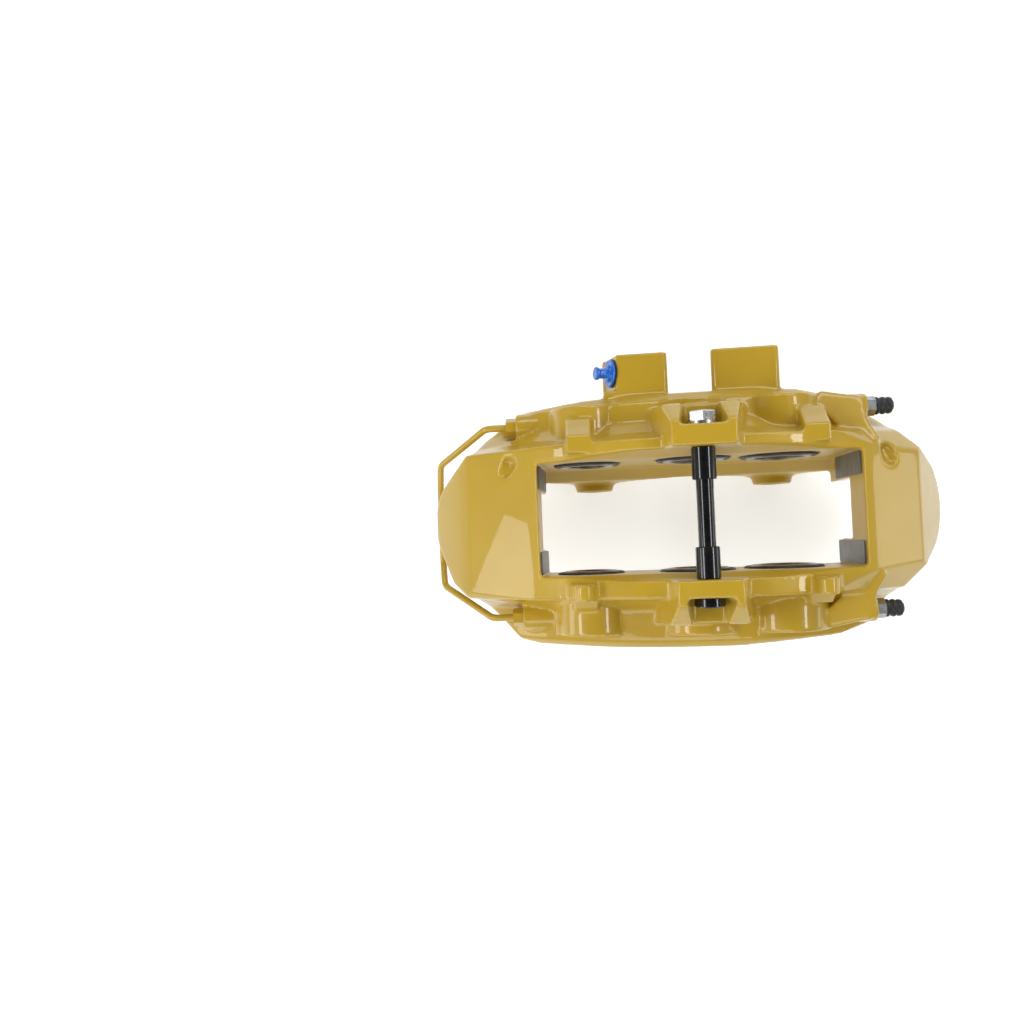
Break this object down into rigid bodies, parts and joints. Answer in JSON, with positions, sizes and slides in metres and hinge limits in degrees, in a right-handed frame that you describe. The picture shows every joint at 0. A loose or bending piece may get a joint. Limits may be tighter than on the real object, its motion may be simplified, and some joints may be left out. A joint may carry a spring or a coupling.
{
  "type": "brake caliper",
  "caption": "Fixed opposed-piston brake caliper: one-piece casting bridging a disc slot, staggered pistons, centre tie, crossover tube, bleed screws, two knuckle lugs",
  "frame": {"origin": "midway between the two knuckle bolt holes, on the face of the lugs that meets the knuckle", "axes": "+X along the caliper towards the bleed screws, +Y inboard along the axle, +Z away from the axle"},
  "size_m": [0.3515, 0.194, 0.168],
  "materials": {
    "paint": "glossy mustard enamel over cast aluminium",
    "piston_alloy": "hard-anodised, turned",
    "rubber": "moulded, satin",
    "zinc": "bright zinc plated",
    "zinc_grey": "dull zinc plated",
    "black_coat": "glossy black coating",
    "stainless": "pressed stainless sheet",
    "blue_plastic": "moulded transit plug"
  },
  "bodies": {
    "caliper": {"caliper_body": "paint", "piston_seal_inboard_trailing": "rubber", "piston_boot_inboard_trailing": "rubber", "piston_seal_inboard_middle": "rubber", "piston_boot_inboard_middle": "rubber", "piston_seal_inboard_leading": "rubber", "piston_boot_inboard_leading": "rubber", "piston_seal_outboard_trailing": "rubber", "piston_boot_outboard_trailing": "rubber", "piston_seal_outboard_middle": "rubber", "piston_boot_outboard_middle": "rubber", "piston_seal_outboard_leading": "rubber", "piston_boot_outboard_leading": "rubber", "tie_sleeve": "black_coat", "tie_nut": "black_coat", "abutment_plate_inboard_trailing": "stainless", "abutment_plate_inboard_leading": "stainless", "abutment_plate_outboard_trailing": "stainless", "abutment_plate_outboard_leading": "stainless", "tube_nut_inboard": "paint", "tube_nut_outboard": "paint", "crossover_tube": "paint", "inlet_ring": "rubber"},
    "piston_inboard_trailing": {"piston_inboard_trailing": "piston_alloy"},
    "piston_inboard_middle": {"piston_inboard_middle": "piston_alloy"},
    "piston_inboard_leading": {"piston_inboard_leading": "piston_alloy"},
    "piston_outboard_trailing": {"piston_outboard_trailing": "piston_alloy"},
    "piston_outboard_middle": {"piston_outboard_middle": "piston_alloy"},
    "piston_outboard_leading": {"piston_outboard_leading": "piston_alloy"},
    "bleed_screw_inboard": {"bleed_screw_inboard": "zinc_grey"},
    "bleed_cap_inboard": {"bleed_cap_inboard": "rubber"},
    "bleed_screw_outboard": {"bleed_screw_outboard": "zinc_grey"},
    "bleed_cap_outboard": {"bleed_cap_outboard": "rubber"},
    "tie_bolt": {"tie_bolt": "zinc"},
    "inlet_plug": {"inlet_plug": "blue_plastic"}
  },
  "joints": [
    {"name": "piston_inboard_trailing_travel", "type": "slide", "parent": "caliper", "child": "piston_inboard_trailing", "axis": [0, -1, 0], "range_m": [0, 0.014]},
    {"name": "piston_inboard_middle_travel", "type": "slide", "parent": "caliper", "child": "piston_inboard_middle", "axis": [0, -1, 0], "range_m": [0, 0.014]},
    {"name": "piston_inboard_leading_travel", "type": "slide", "parent": "caliper", "child": "piston_inboard_leading", "axis": [0, -1, 0], "range_m": [0, 0.014]},
    {"name": "piston_outboard_trailing_travel", "type": "slide", "parent": "caliper", "child": "piston_outboard_trailing", "axis": [0, 1, 0], "range_m": [0, 0.014]},
    {"name": "piston_outboard_middle_travel", "type": "slide", "parent": "caliper", "child": "piston_outboard_middle", "axis": [0, 1, 0], "range_m": [0, 0.014]},
    {"name": "piston_outboard_leading_travel", "type": "slide", "parent": "caliper", "child": "piston_outboard_leading", "axis": [0, 1, 0], "range_m": [0, 0.014]},
    {"name": "bleed_screw_inboard_turn", "type": "hinge", "parent": "caliper", "child": "bleed_screw_inboard", "pos_m": [0.111, 0.001, 0.094], "axis": [1, 0, 0], "range_deg": [0, 360]},
    {"name": "bleed_cap_inboard_pull", "type": "slide", "parent": "bleed_screw_inboard", "child": "bleed_cap_inboard", "axis": [1, 0, 0], "range_m": [0, 0.014]},
    {"name": "bleed_screw_outboard_turn", "type": "hinge", "parent": "caliper", "child": "bleed_screw_outboard", "pos_m": [0.111, -0.129, 0.094], "axis": [1, 0, 0], "range_deg": [0, 360]},
    {"name": "bleed_cap_outboard_pull", "type": "slide", "parent": "bleed_screw_outboard", "child": "bleed_cap_outboard", "axis": [1, 0, 0], "range_m": [0, 0.014]},
    {"name": "tie_bolt_withdraw", "type": "slide", "parent": "caliper", "child": "tie_bolt", "axis": [0, 1, 0], "range_m": [0, 0.115]},
    {"name": "inlet_plug_pull", "type": "slide", "parent": "caliper", "child": "inlet_plug", "axis": [-0.9272, 0, 0.3746], "range_m": [0, 0.012]}
  ]
}
